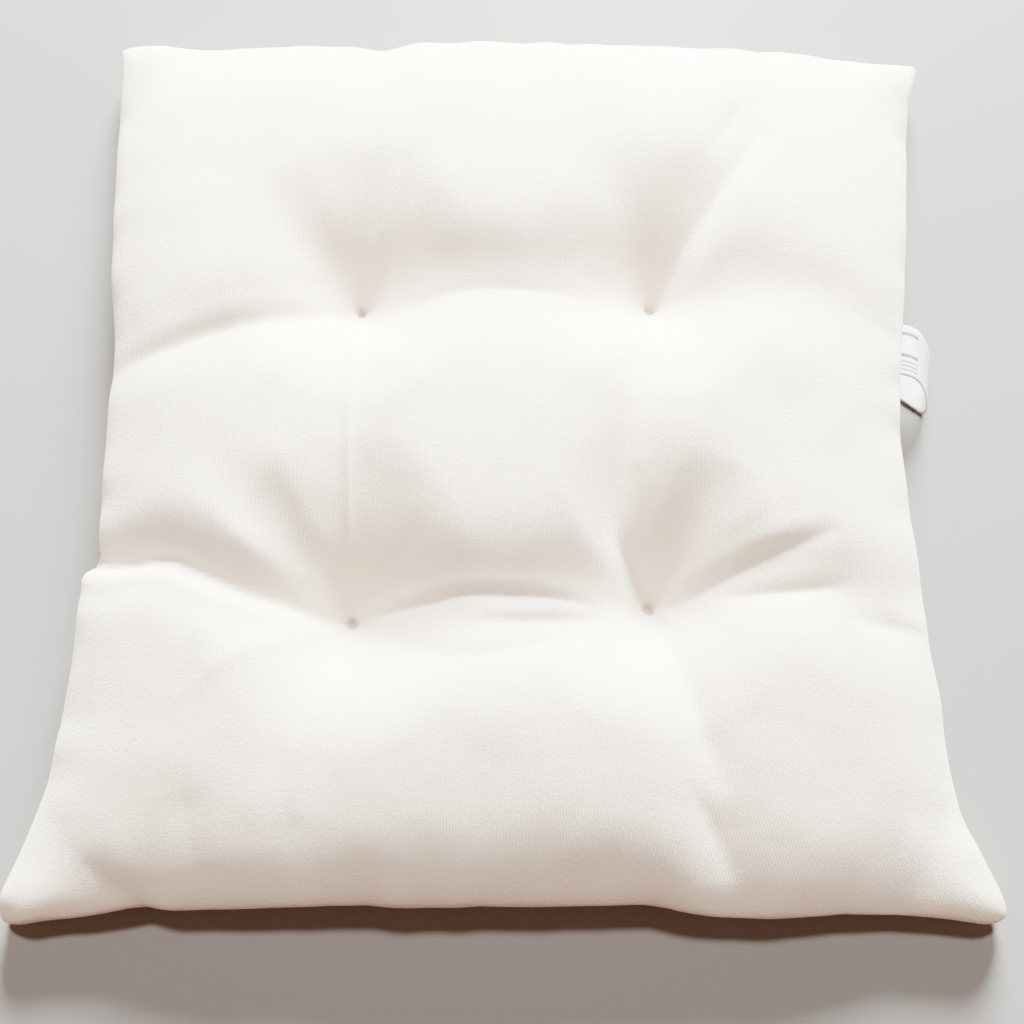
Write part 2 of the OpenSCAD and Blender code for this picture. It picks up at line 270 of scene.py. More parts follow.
def simulate():
    """Two flat panels, sewn round the edge and tied at four tacks, are blown up by a light
    stuffing pressure and let settle on a floor. Returns the top and bottom grids in metres."""
    g = grid_lines(N)
    U, V = np.meshgrid(g, g, indexing="xy")
    px, py = plan(U, V)
    T = np.stack([px, py, start_top(U, V)], -1) * MM
    B = np.stack([px, py, start_bottom(U, V)], -1) * MM
    edge = (np.abs(U) > 0.9999) | (np.abs(V) > 0.9999)
    B[edge] = T[edge]
    n = N * N
    it = np.arange(n).reshape(N, N)
    ib = it + n
    ib[edge] = it[edge]
    used = np.zeros(2 * n, bool)
    used[it.ravel()] = True
    used[ib.ravel()] = True
    new = np.cumsum(used) - 1
    quad = lambda q: np.stack([q[:-1, :-1], q[:-1, 1:], q[1:, 1:], q[1:, :-1]], -1).reshape(-1, 4)
    faces = np.concatenate([new[quad(it)], new[quad(ib)][:, ::-1]])
    verts = np.concatenate([T.reshape(-1, 3), B.reshape(-1, 3)])[used]
    me = bpy.data.meshes.new("sim")
    me.from_pydata(verts.tolist(), [], faces.tolist())
    ob = bpy.data.objects.new("sim", me)
    scene.collection.objects.link(ob)
    ob.shape_key_add(name="Basis")
    flat = ob.shape_key_add(name="flat")
    co = np.stack([U * CUT / 2, V * CUT / 2, np.full_like(U, 0.03)], -1).reshape(-1, 3)
    flat.data.foreach_set("co", np.concatenate([co, co])[used].astype(np.float32).ravel())
    pin = ob.vertex_groups.new(name="pin")
    ks = [i for i in range(N) if abs(abs(g[i]) - TACK) < 1e-6]
    pin.add([int(new[a[j, i]]) for j in ks for i in ks for a in (it, ib)], 1.0, "REPLACE")
    mod = ob.modifiers.new("cloth", "CLOTH")
    s = mod.settings
    s.quality = 7
    s.mass = 0.15
    s.tension_stiffness = 15
    s.compression_stiffness = 15
    s.shear_stiffness = 5
    s.bending_stiffness = 0.5
    s.air_damping = 1
    s.use_pressure = True
    s.uniform_pressure_force = SIM_PRESSURE
    s.rest_shape_key = flat
    s.vertex_group_mass = "pin"
    s.effector_weights.gravity = SIM_GRAVITY
    mod.collision_settings.distance_min = 0.002
    mod.collision_settings.use_self_collision = False
    fm = bpy.data.meshes.new("sim_floor")
    fm.from_pydata([(-1, -1, -0.002), (1, -1, -0.002), (1, 1, -0.002), (-1, 1, -0.002)], [], [(0, 1, 2, 3)])
    fo = bpy.data.objects.new("sim_floor", fm)
    scene.collection.objects.link(fo)
    fo.modifiers.new("collision", "COLLISION")
    fo.collision.thickness_outer = 0.001
    mod.point_cache.frame_start = 1
    mod.point_cache.frame_end = SIM_FRAMES
    for f in range(1, SIM_FRAMES + 1):
        scene.frame_set(f)
    ev = ob.evaluated_get(bpy.context.evaluated_depsgraph_get())
    out = np.empty(len(verts) * 3, np.float32)
    ev.data.vertices.foreach_get("co", out)
    full = np.zeros((2 * n, 3))
    full[used] = out.reshape(-1, 3)
    T1 = full[:n].reshape(N, N, 3)
    B1 = full[ib.ravel()].reshape(N, N, 3)
    for o in (ob, fo):
        m = o.data
        bpy.data.objects.remove(o)
        bpy.data.meshes.remove(m)
    scene.frame_set(1)
    return g, T, B, T1, B1


SIM_PRESSURE, SIM_GRAVITY, SIM_FRAMES = 3.0, 0.02, 10
G, TOP0, BOTTOM0, TOP1, BOTTOM1 = simulate()


def settled(start, end, cap):
    """The simulated shape, with no point further than cap from where it started. A fibre fill
    is pressed hard round the tacks and can't blow up there as air would, so they hold still."""
    d = end - start
    n = np.linalg.norm(d, axis=-1, keepdims=True)
    w = np.clip((tack_distance(start[..., 0] / MM, start[..., 1] / MM) - 20) / 50, 0, 1)[..., None]
    gu, gv = np.meshgrid(G, G, indexing="xy")
    r = np.maximum(np.abs(gu), np.abs(gv))[..., None]
    w = w * np.clip((1 - r) * 6, 0, 1)
    return start + w * d / (1 + n / cap)


def eased(a, times=3):
    """Evens out small buckles in a grid of moves, leaving its rim alone."""
    a = a * 1.0
    for _ in range(times):
        a[1:-1] = 0.25 * a[:-2] + 0.5 * a[1:-1] + 0.25 * a[2:]
        a[:, 1:-1] = 0.25 * a[:, :-2] + 0.5 * a[:, 1:-1] + 0.25 * a[:, 2:]
    return a


MOVE_T = eased(settled(TOP0, TOP1, 4 * MM) - TOP0)
MOVE_B = eased(settled(BOTTOM0, BOTTOM1, 4 * MM) - BOTTOM0)


# ---------------------------------------------------------------- finer grids
def sample(a, idx):
    """Cubic interpolation of a square grid of points at the line numbers idx, both ways."""
    def along(a):
        n = a.shape[0]
        p = np.concatenate([2 * a[:1] - a[1:2], a, 2 * a[-1:] - a[-2:-1]])
        k = np.minimum(np.floor(idx).astype(int), n - 2)
        t = (idx - k).reshape((-1,) + (1,) * (a.ndim - 1))
        return ((-0.5 * t + t * t - 0.5 * t ** 3) * p[k] + (1 - 2.5 * t * t + 1.5 * t ** 3) * p[k + 1]
                + (0.5 * t + 2 * t * t - 1.5 * t ** 3) * p[k + 2] + (-0.5 * t * t + 0.5 * t ** 3) * p[k + 3])
    return np.swapaxes(along(np.swapaxes(along(a), 0, 1)), 0, 1)


def fine_lines():
    """Grid lines about 2 mm apart over the cloth, and closer at the seam and through the tacks."""
    t = np.linspace(0, 1, 6001)
    x = 1 - (1 - t) ** 2
    z = 38 * np.sqrt(np.clip(1 - x ** 3, 0, None))
    ds = np.hypot(np.diff(x) * HALF, np.diff(z))
    gap = 2.3 - 1.6 * np.exp(-((x - TACK) * HALF / 4.5) ** 2) - 1.1 * np.clip((x - 0.985) / 0.015, 0, 1)
    run = np.concatenate([[0], np.cumsum(ds / (0.5 * (gap[1:] + gap[:-1])))])
    at = np.interp(TACK, x, run)
    a = np.interp(np.linspace(0, at, int(round(at / 6)) * 6 + 1), run, x)
    b = np.interp(np.linspace(at, run[-1], int(round((run[-1] - at) / 6)) * 6 + 1), run, x)
    h = np.concatenate([a, b[1:]])
    return np.concatenate([-h[:0:-1], h])


g2 = fine_lines()
idx2 = np.interp(g2, G, np.arange(N))
U, V = np.meshgrid(g2, g2, indexing="xy")
PX, PY = plan(U, V)
T = np.stack([PX, PY, start_top(U, V)], -1) * MM + sample(MOVE_T, idx2)
B = np.stack([PX, PY, start_bottom(U, V)], -1) * MM + sample(MOVE_B, idx2)


def grid_normals(P):
    n = np.cross(np.gradient(P, axis=1), np.gradient(P, axis=0))
    return n / np.maximum(np.linalg.norm(n, axis=-1, keepdims=True), 1e-12)


def waves(x, y, size, seed, count=40):
    """Smooth lumps about size across, from a fixed set of waves, between about -1 and 1."""
    r = np.random.default_rng(seed)
    a = r.uniform(0, 2 * math.pi, count)
    k = 2 * math.pi / (size * r.uniform(0.75, 1.5, count))
    ph = r.uniform(0, 2 * math.pi, count)
    return sum(np.sin(x * k[i] * math.cos(a[i]) + y * k[i] * math.sin(a[i]) + ph[i]) for i in range(count)) / math.sqrt(count)


# Creases and small ridges of the top cover: points, height at both ends and in the middle
# (below 0 for a crease), half width, and the height of a soft lip on the left of the line's run
CREASES = [
    ([(-176, 24), (-160, 28), (-127, 38), (-94, 47), (-76, 53)], (-0.5, -2.2, -0.8), 3.4, 0.8),
    ([(-56, 52), (-28, 59), (0, 59.5), (38, 56)], (-0.2, -1.0, -0.2), 3.0, 0.5),
    ([(-70, 48), (-70, 8), (-69, -35), (-68.5, -60)], (0.8, 1.5, 0.6), 2.0, 0.0),
    ([(57, 50), (53, 32), (45, -8), (41, -42), (47, -59), (54, -71)], (-0.4, -2.8, -1.8), 3.2, 1.4),
    ([(57, 48), (54.5, 34), (49.5, 11), (47.5, -8), (48, -20)], (0.4, 1.4, 0.5), 2.0, 0.0),
    ([(-181, -57), (-167, -60), (-143, -59), (-127, -65), (-107, -73), (-86, -80), (-75, -83)], (-3.8, -3.4, -1.0), 3.0, -1.4),
    ([(-58, -81), (-49, -79), (-35, -76), (-19, -73), (14, -74), (32, -77)], (-0.5, -1.5, -0.3), 1.9, 0.8),
    ([(-16, -84), (5, -83.5), (31, -82)], (-0.4, -1.8, -0.3), 1.8, 0.7),
    ([(64, -76), (73, -71), (98, -58), (128, -46)], (-0.8, -2.3, -0.6), 3.2, 1.0),
    ([(82, -73), (105, -71), (134, -68)], (-0.4, -2.0, -0.3), 2.8, 0.8),
    ([(135, -81), (166, -86)], (-0.2, -1.4, -0.8), 3.0, 0.4),
    ([(61, 62), (74, 87), (90, 112), (106, 137)], (-1.2, -2.6, -1.4), 4.4, -1.0),
    ([(86, 128), (103, 158)], (-0.3, -1.5, -0.2), 3.4, 0.5),
    ([(-55, 112), (-61, 86), (-67, 62)], (0.5, 1.9, 0.8), 2.0, 0.0),
    ([(-72, -88), (-105, -96), (-128, -113)], (0.4, 1.6, 0.2), 9.0, 0.0),
    ([(-76, -108), (-83, -138), (-84.5, -162)], (0.2, 1.7, 0.0), 2.4, 0.0),
    ([(-60, -89), (-46, -93), (-23, -98), (5, -93), (33, -84)], (-0.8, -2.2, -0.5), 8.0, 0.0),
    ([(59, -84), (66, -105), (72, -124), (80, -146)], (-1.6, -2.2, -0.8), 4.2, 0.6),
    ([(68, -149), (76, -163), (83, -179)], (-0.3, -1.6, -0.8), 4.2, 0.5),
    ([(-168, -176), (-158, -185), (-146, -195)], (-0.3, -1.5, -1.0), 4.5, 0.6),
    ([(-128, -150), (-121, -176)], (-0.2, -0.9, -0.3), 11.0, 0.0),
    ([(-60, -176), (-58, -196)], (-0.2, -0.5, -0.8), 7.0, 0.0),
    ([(-12, -178), (-14, -196)], (-0.1, -0.4, -0.6), 8.0, 0.0),
    ([(52, -180), (56, -196)], (-0.2, -0.6, -0.9), 7.0, 0.0),
    ([(128, -172), (131, -198)], (-0.1, -0.5, -0.7), 9.0, 0.0),
    ([(-68, 180), (-66, 196)], (-0.2, -0.5, -0.9), 8.0, 0.0),
    ([(-110, 182), (-113, 196)], (-0.2, -0.5, -0.9), 7.0, 0.0),
    ([(40, 184), (42, 200)], (-0.1, -0.4, -0.7), 8.0, 0.0),
    ([(112, 182), (116, 200)], (-0.2, -0.5, -0.9), 7.0, 0.0),
    ([(150, 50), (166, 46)], (-0.2, -0.6, -1.0), 6.0, 0.0),
]


def creased(P):
    x, y = P[..., 0] / MM, P[..., 1] / MM
    nrm = grid_normals(P)
    move = np.zeros(P.shape)
    for pts, (h0, h1, h2), w, lip in CREASES:
        d, side, t = line_distance(x, y, curved(pts))
        end = np.hypot(x - pts[0][0], y - pts[0][1]), np.hypot(x - pts[-1][0], y - pts[-1][1])
        h = (1 - t) * (1 - 2 * t) * h0 + 4 * t * (1 - t) * h1 + t * (2 * t - 1) * h2
        past = np.where((t <= 0) | (t >= 1), d, 0)          # beyond an end it fades out
        sharp = np.exp(-(np.sqrt(d * d + 0.5) - 0.7) / (0.55 * w))
        soft = np.exp(-(d / (1.9 * w)) ** 2)
        amt = h * (0.62 * sharp + 0.38 * soft) * np.exp(-(past / (1.2 * w)) ** 2)
        if lip:
            s = d * side * math.copysign(1, lip)
            amt = amt + abs(lip) * (np.abs(h) / 3.0) * np.exp(-((s - 2.3 * w) / (1.5 * w)) ** 2) * np.exp(-(past / (1.2 * w)) ** 2)
        move += nrm * (amt * MM)[..., None]
    return P + move


def finished_top(P):
    x, y = P[..., 0] / MM, P[..., 1] / MM
    nrm = grid_normals(P)
    r = np.maximum(np.abs(U), np.abs(V))
    td = tack_distance(x, y)
    away = np.clip((td - 8) / 30, 0, 1)
    inside = np.clip((1 - r) * HALF / 12, 0, 1)
    lump = 0.28 * waves(x, y, 62, 11) + 0.1 * waves(x, y, 24, 5)
    P = P + nrm * (lump * away * inside * MM)[..., None]
    # gathers that run in from the seam
    along = np.where(np.abs(U) > np.abs(V), y, x)
    run = np.exp(-((1 - r) * HALF / 13) ** 1.2) * np.clip((1 - r) * HALF / 3, 0, 1)
    ph = waves(along, np.where(np.abs(U) > np.abs(V), np.sign(U) * 70, np.sign(V) * 70), 21, 3)
    P = P + nrm * (0.5 * ph * run * MM)[..., None]
    P = creased(P)
    # the cloth is drawn into a narrow pit at each tack
    P[..., 2] -= 6.0 * np.clip(1 - td / 3.6, 0, 1) ** 1.5 * MM
    return P


def rim_order(n):
    """Row and column of each grid point round the edge, counterclockwise from the front left."""
    k = np.arange(n - 1)
    j = np.concatenate([0 * k, k, 0 * k + n - 1, n - 1 - k])
    i = np.concatenate([k, 0 * k + n - 1, n - 1 - k, 0 * k])
    return j, i


def grooved(P):
    """The cloth turns in to the seam stitches, so the seam lies in a shallow groove."""
    rim = P * 1.0
    j = np.argmax(np.stack([-V, V, -U, U]), axis=0)      # nearest side: front, back, left, right
    ends = np.stack([np.broadcast_to(P[0][None], P.shape), np.broadcast_to(P[-1][None], P.shape),
                     np.broadcast_to(P[:, :1], P.shape), np.broadcast_to(P[:, -1:], P.shape)])
    edge_pt = np.take_along_axis(ends, j[None, ..., None], 0)[0]
    inward = np.array([(0, 1), (0, -1), (1, 0), (-1, 0)], float)[j]
    corner = np.clip((1 - np.minimum(np.abs(U), np.abs(V))) * HALF / 9, 0, 1)
    s = np.linalg.norm(P - edge_pt, axis=-1) / MM
    d = 1.5 * np.exp(-(s / 2.0) ** 2) * corner
    rim[..., :2] += inward * (d * MM)[..., None]
    return rim


T = grooved(finished_top(T))
B = grooved(B)
edge = (np.abs(U) > 0.9999) | (np.abs(V) > 0.9999)
B[edge] = T[edge]
B[..., 2] = np.maximum(B[..., 2], 0.0003)


cloth_uv = np.stack([U * CUT / 2, V * CUT / 2], -1)
CLOTH = 1.2 * MM            # thickness of the knit
ALLOWANCE = 9.0             # seam allowance turned inside, mm


def rim_frame(P):
    """Round the edge: the points, the way in, the distance along, and the allowance left there."""
    j, i = rim_order(P.shape[0])
    R = P[j, i]
    side = np.repeat([0, 1, 2, 3], P.shape[0] - 1)
    inward = np.array([(0, 1, 0), (-1, 0, 0), (0, -1, 0), (1, 0, 0)], float)[side]
    step = np.linalg.norm(np.roll(R, -1, 0) - R, axis=1)
    run = np.concatenate([[0], np.cumsum(step)])
    corners = np.array([run[k * (P.shape[0] - 1)] for k in range(5)])
    far = np.min(np.abs(run[:-1, None] - corners[None]), axis=1) / MM
    deep = np.clip(0.75 * far, 0.9, ALLOWANCE)
    return R, inward, run, deep


def cover(name, P, uv, up):
    """One panel of the cover as a closed sheet: the outside, its allowance turned in at the
    seam, and its inner face one cloth thickness away. up is 1 for the top panel and -1 below."""
    n = P.shape[0]
    j, i = rim_order(n)
    R, inward, run, deep = rim_frame(P)
    pts = [P.reshape(-1, 3)]
    uvs = [uv.reshape(-1, 2)]
    idx = np.arange(n * n).reshape(n, n)
    quads = np.stack([idx[:-1, :-1], idx[:-1, 1:], idx[1:, 1:], idx[1:, :-1]], -1).reshape(-1, 4)
    loop = idx[j, i]
    faces = [quads if up > 0 else quads[:, ::-1]]
    base = n * n
    for f, z in ((0.12, 0.0), (0.35, 0.12), (0.68, 0.12), (1.0, 0.12)):
        pts.append(R + inward * (f * deep * MM)[:, None] + np.array([0, 0, up * z * MM]))
        uvs.append(uv[j, i] - inward[:, :2] * (f * deep * MM)[:, None])
        ring = base + np.arange(len(loop))
        a, b = np.roll(loop, -1), loop
        c, d = ring, np.roll(ring, -1)
        q = np.stack([a, b, c, d], -1)
        faces.append(q if up > 0 else q[:, ::-1])
        loop = ring
        base += len(ring)
    pts, uvs, faces = np.concatenate(pts), np.concatenate(uvs), np.concatenate(faces)
    me = bpy.data.meshes.new(name + "_sheet")
    me.from_pydata(pts.tolist(), [], faces.tolist())
    nrm = np.empty(len(pts) * 3, np.float32)
    me.vertex_normals.foreach_get("vector", nrm)
    bpy.data.meshes.remove(me)
    inner = pts - CLOTH * nrm.reshape(-1, 3)
    m = len(pts)
    a, b = loop, np.roll(loop, -1)
    hem = np.stack([b, a, a + m, b + m], -1)
    faces = np.concatenate([faces, faces[:, ::-1] + m, hem if up > 0 else hem[:, ::-1]])
    return mesh_object(name, np.concatenate([pts, inner]), faces, np.concatenate([uvs, uvs]))


def mesh_object(name, pts, faces, uv=None, smooth=True):
    me = bpy.data.meshes.new(name)
    me.from_pydata(np.asarray(pts).tolist(), [], [list(map(int, f)) for f in faces])
    if uv is not None:
        lay = me.uv_layers.new(name="cloth")
        loops = np.empty(len(me.loops), np.int32)
        me.loops.foreach_get("vertex_index", loops)
        lay.data.foreach_set("uv", np.asarray(uv)[loops].astype(np.float32).ravel())
    me.polygons.foreach_set("use_smooth", [smooth] * len(me.polygons))
    ob = bpy.data.objects.new(name, me)
    scene.collection.objects.link(ob)
    return ob


def tube_mesh(path, r, sides=6, closed=False):
    """Points and faces of a round tube along a path of points, in metres."""
    p = np.asarray(path, float)
    m = len(p)
    t = np.roll(p, -1, 0) - np.roll(p, 1, 0) if closed else np.gradient(p, axis=0)
    t /= np.maximum(np.linalg.norm(t, axis=1, keepdims=True), 1e-12)
    side = np.zeros_like(p)
    v = np.cross(t[0], (0, 0, 1.0))
    if np.linalg.norm(v) < 0.2:
        v = np.cross(t[0], (0, 1.0, 0))
    for k in range(m):
        v = v - t[k] * np.dot(v, t[k])
        v = v / max(np.linalg.norm(v), 1e-12)
        side[k] = v
    up = np.cross(t, side)
    a = np.linspace(0, 2 * math.pi, sides, endpoint=False)
    ring = p[:, None] + r * (np.cos(a)[None, :, None] * side[:, None] + np.sin(a)[None, :, None] * up[:, None])
    pts = ring.reshape(-1, 3)
    idx = np.arange(m * sides).reshape(m, sides)
    nxt = np.roll(idx, -1, 0) if closed else idx[1:]
    cur = idx if closed else idx[:-1]
    faces = np.stack([cur, np.roll(cur, -1, 1), np.roll(nxt, -1, 1), nxt], -1).reshape(-1, 4).tolist()
    if not closed:
        faces.append(idx[0][::-1].tolist())
        faces.append(idx[-1].tolist())
    return pts, faces


def tubes(name, paths, closed=False, sides=6):
    pts, faces, base = [], [], 0
    for path, r in paths:
        q, f = tube_mesh(path, r, sides, closed)
        pts.append(q)
        faces += [[k + base for k in face] for face in f]
        base += len(q)
    return mesh_object(name, np.concatenate(pts), faces)


def along_rim(P):
    """A function of distance round the seam, in mm, that gives the point, the way in and the allowance."""
    R, inward, run, deep = rim_frame(P)
    R2, I2, D2 = (np.concatenate([a, a[:1]]) for a in (R, inward, deep))
    total = run[-1] / MM

    def at(s):
        q = np.mod(s, total) * MM
        return (np.stack([np.interp(q, run, R2[:, k]) for k in range(3)], -1),
                np.stack([np.interp(q, run, I2[:, k]) for k in range(3)], -1), np.interp(q, run, D2))
    return at, total


# ---------------------------------------------------------------- materials
def node_material(name):
    m = bpy.data.materials.new(name)
    m.use_nodes = True
    t = m.node_tree
    return m, t, t.nodes["Principled BSDF"]


class Graph:
    """Short ways to add shader nodes."""
    def __init__(self, tree):
        self.t, self.n, self.l = tree, tree.nodes, tree.links

    def put(self, socket, v):
        if isinstance(v, bpy.types.NodeSocket):
            self.l.new(v, socket)
        else:
            socket.default_value = v

    def math(self, op, a, b=None, c=None, clamp=False):
        m = self.n.new("ShaderNodeMath")
        m.operation, m.use_clamp = op, clamp
        for k, v in enumerate((a, b, c)):
            if v is not None:
                self.put(m.inputs[k], v)
        return m.outputs[0]

    def noise(self, vec, scale, detail=2.0, rough=0.5, distort=0.0):
        m = self.n.new("ShaderNodeTexNoise")
        self.put(m.inputs["Vector"], vec)
        m.inputs["Scale"].default_value = scale
        m.inputs["Detail"].default_value = detail
        m.inputs["Roughness"].default_value = rough
        m.inputs["Distortion"].default_value = distort
        return m.outputs["Fac"]

    def scaled(self, vec, xyz):
        m = self.n.new("ShaderNodeVectorMath")
        m.operation = "MULTIPLY"
        self.put(m.inputs[0], vec)
        m.inputs[1].default_value = xyz
        return m.outputs[0]

    def split(self, vec):
        m = self.n.new("ShaderNodeSeparateXYZ")
        self.put(m.inputs[0], vec)
        return m.outputs

    def ramp(self, fac, stops):
        m = self.n.new("ShaderNodeValToRGB")
        self.put(m.inputs[0], fac)
        e = m.color_ramp.elements
        while len(e) > 1:
            e.remove(e[-1])
        e[0].position, e[0].color = stops[0][0], (*stops[0][1], 1)
        for pos, col in stops[1:]:
            k = e.new(pos)
            k.color = (*col, 1)
        return m.outputs[0]

    def mix(self, fac, a, b, mode="MIX"):
        m = self.n.new("ShaderNodeMix")
        m.data_type, m.blend_type = "RGBA", mode
        self.put(m.inputs[0], fac)
        for k, v in ((6, a), (7, b)):
            self.put(m.inputs[k], (*v, 1) if isinstance(v, tuple) else v)
        return m.outputs[2]

    def bump(self, height, distance, strength=1.0, normal=None):
        m = self.n.new("ShaderNodeBump")
        self.put(m.inputs["Height"], height)
        m.inputs["Distance"].default_value = distance
        m.inputs["Strength"].default_value = strength
        if normal is not None:
            self.put(m.inputs["Normal"], normal)
        return m.outputs[0]

    def uv(self, name):
        m = self.n.new("ShaderNodeUVMap")
        m.uv_map = name
        return m.outputs[0]

    def obj(self):
        return self.n.new("ShaderNodeTexCoord").outputs["Object"]


WALE, COURSE = 1.27 * MM, 0.98 * MM


def knit_material():
    """Fine brushed cotton knit: wales that run front to back, and a short soft nap over them."""
    m, t, b = node_material("cream_knit")
    g = Graph(t)
    uv = g.uv("cloth")
    drift = g.noise(uv, 55.0, 2.0)
    x, y, _ = g.split(uv)
    u = g.math("ADD", g.math("MULTIPLY", x, 1 / WALE), g.math("MULTIPLY", drift, 1.1))
    fu = g.math("FRACT", u)
    tri = g.math("ABSOLUTE", g.math("SUBTRACT", fu, 0.5))
    v = g.math("ADD", g.math("MULTIPLY", y, 1 / COURSE), g.math("MULTIPLY", tri, 1.3))
    course = g.math("MULTIPLY_ADD", g.math("SINE", g.math("MULTIPLY", v, 2 * math.pi)), 0.5, 0.5)
    wale = g.math("SINE", g.math("MULTIPLY", fu, math.pi))
    loops = g.math("MULTIPLY", g.math("POWER", wale, 0.8), g.math("MULTIPLY_ADD", course, 0.3, 0.7))
    worn = g.math("MULTIPLY_ADD", g.noise(uv, 90.0, 3.0, 0.6), 1.4, -0.15, clamp=True)
    nap = g.noise(g.scaled(uv, (5200.0, 2100.0, 1.0)), 1.0, 3.0, 0.65, 0.6)
    tuft = g.noise(uv, 700.0, 3.0, 0.6)
    height = g.math("ADD", g.math("MULTIPLY", g.math("MULTIPLY", loops, worn), 0.7), g.math("MULTIPLY", nap, 0.9))
    height = g.math("ADD", height, g.math("MULTIPLY", tuft, 1.3))
    soft = g.noise(uv, 28.0, 3.0, 0.55)
    tone = g.ramp(soft, [(0.30, (0.845, 0.725, 0.575)), (0.52, (0.868, 0.757, 0.612)), (0.72, (0.882, 0.782, 0.650))])
    # painted shade: the colour darkens in the gaps between the knit loops, and in random patches where worn is low
    low = g.math("SUBTRACT", 1.0, g.math("MULTIPLY", loops, worn), clamp=True)
    tone = g.mix(g.math("MULTIPLY", g.math("POWER", low, 2.0), 0.35), tone, (0.72, 0.585, 0.44))
    tone = g.mix(g.math("MULTIPLY_ADD", tuft, 0.5, -0.1, clamp=True), tone, (0.90, 0.82, 0.70))
    fleck = g.noise(g.scaled(uv, (260.0, 420.0, 1.0)), 1.0, 1.0, 0.5)
    tone = g.mix(g.math("MULTIPLY", g.math("GREATER_THAN", fleck, 0.805), 0.35), tone, (0.52, 0.40, 0.27))
    t.links.new(tone, b.inputs["Base Color"])
    t.links.new(g.math("MULTIPLY_ADD", nap, 0.12, 0.84), b.inputs["Roughness"])
    t.links.new(g.bump(height, 0.00030, 1.0, g.bump(soft, 0.0012, 0.35)), b.inputs["Normal"])
    b.inputs["Sheen Weight"].default_value = 0.35
    b.inputs["Sheen Roughness"].default_value = 0.45
    b.inputs["Sheen Tint"].default_value = (1.0, 0.95, 0.88, 1)
    b.inputs["Specular IOR Level"].default_value = 0.25
    return m


def fibre_material():
    m, t, b = node_material("polyester_fibre")
    g = Graph(t)
    ob = g.obj()
    clump = g.noise(ob, 60.0, 4.0, 0.6)
    strand = g.noise(g.scaled(ob, (900.0, 260.0, 900.0)), 1.0, 4.0, 0.7, 1.5)
    t.links.new(g.ramp(g.math("ADD", g.math("MULTIPLY", clump, 0.6), g.math("MULTIPLY", strand, 0.4)),
                       [(0.3, (0.70, 0.70, 0.69)), (0.7, (0.90, 0.90, 0.89))]), b.inputs["Base Color"])
    t.links.new(g.bump(g.math("ADD", clump, strand), 0.0012, 0.8), b.inputs["Normal"])
    b.inputs["Roughness"].default_value = 0.8
    b.inputs["Sheen Weight"].default_value = 0.4
    return m


def thread_material(name, light, dark, fine):
    """Spun polyester thread, with the slant of its twist and a little fluff; its colour is darker in the twist grooves,
    which is painted shade.
    """
    m, t, b = node_material(name)
    g = Graph(t)
    ob = g.obj()
    x, y, z = g.split(ob)
    twist = g.math("SINE", g.math("MULTIPLY", g.math("ADD", g.math("ADD", x, y), z), fine))
    fluff = g.noise(ob, 5000.0, 2.0, 0.6)
    f = g.math("ADD", g.math("MULTIPLY_ADD", twist, 0.3, 0.3), g.math("MULTIPLY", fluff, 0.5))
    # painted shade: the ramp darkens the colour where the twist is low, in the grooves between the plies, and at random
    # with the fluff
    t.links.new(g.ramp(f, [(0.15, dark), (0.75, light)]), b.inputs["Base Color"])
    t.links.new(g.bump(f, 0.00008, 0.9), b.inputs["Normal"])
    t.links.new(g.math("MULTIPLY_ADD", fluff, 0.2, 0.42), b.inputs["Roughness"])
    b.inputs["Sheen Weight"].default_value = 0.3
    return m


def ribbon_material():
    """White satin ribbon with a close weft and a few plain printed rules."""
    m, t, b = node_material("white_satin")
    g = Graph(t)
    uv = g.uv("cloth")
    u, v, _ = g.split(uv)

    def band(v0, width, u0, u1):
        near = g.math("COMPARE", v, v0, width / 2)
        return g.math("MULTIPLY", near, g.math("COMPARE", u, (u0 + u1) / 2, (u1 - u0) / 2))
    ink = None
    for v0, w, k in ((8.0, 1.7, 1.0), (-2.4, 1.7, 1.0), (-5.3, 0.9, 0.9), (-7.2, 0.9, 0.9), (-9.1, 0.9, 0.9)):
        d = g.math("MULTIPLY", band(v0 * MM, w * MM, -0.001, 15.6 * MM), k)
        ink = d if ink is None else g.math("MAXIMUM", ink, d)
    weft = g.math("SINE", g.math("MULTIPLY", u, 2 * math.pi / (0.24 * MM)))
    warp = g.math("SINE", g.math("MULTIPLY", v, 2 * math.pi / (0.17 * MM)))
    soft = g.noise(uv, 160.0, 3.0, 0.6)
    edge = g.math("GREATER_THAN", g.math("ABSOLUTE", v), 11.35 * MM)
    tone = g.ramp(soft, [(0.3, (0.72, 0.725, 0.745)), (0.7, (0.80, 0.80, 0.82))])
    tone = g.mix(g.math("MULTIPLY", edge, 0.25), tone, (0.66, 0.66, 0.68))
    t.links.new(g.mix(g.math("MULTIPLY", ink, 0.97), tone, (0.012, 0.014, 0.02)), b.inputs["Base Color"])
    t.links.new(g.bump(g.math("ADD", weft, g.math("MULTIPLY", warp, 0.6)), 0.00004, 0.8,
                       g.bump(soft, 0.0006, 0.5)), b.inputs["Normal"])
    t.links.new(g.math("MULTIPLY_ADD", soft, 0.2, 0.26), b.inputs["Roughness"])
    b.inputs["Sheen Weight"].default_value = 0.15
    b.inputs["Anisotropic"].default_value = 0.4
    return m


KNIT = knit_material()
FIBRE = fibre_material()
THREAD = thread_material("cream_thread", (0.86, 0.80, 0.70), (0.55, 0.48, 0.38), 14000.0)
TACK_THREAD = thread_material("tack_thread", (0.88, 0.86, 0.80), (0.50, 0.47, 0.40), 9000.0)
RIBBON = ribbon_material()

# ---------------------------------------------------------------- pieces
def place(ob, mat, node):
    ob.data.materials.append(mat)
    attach(ob, "root")
    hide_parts(node)
    return ob


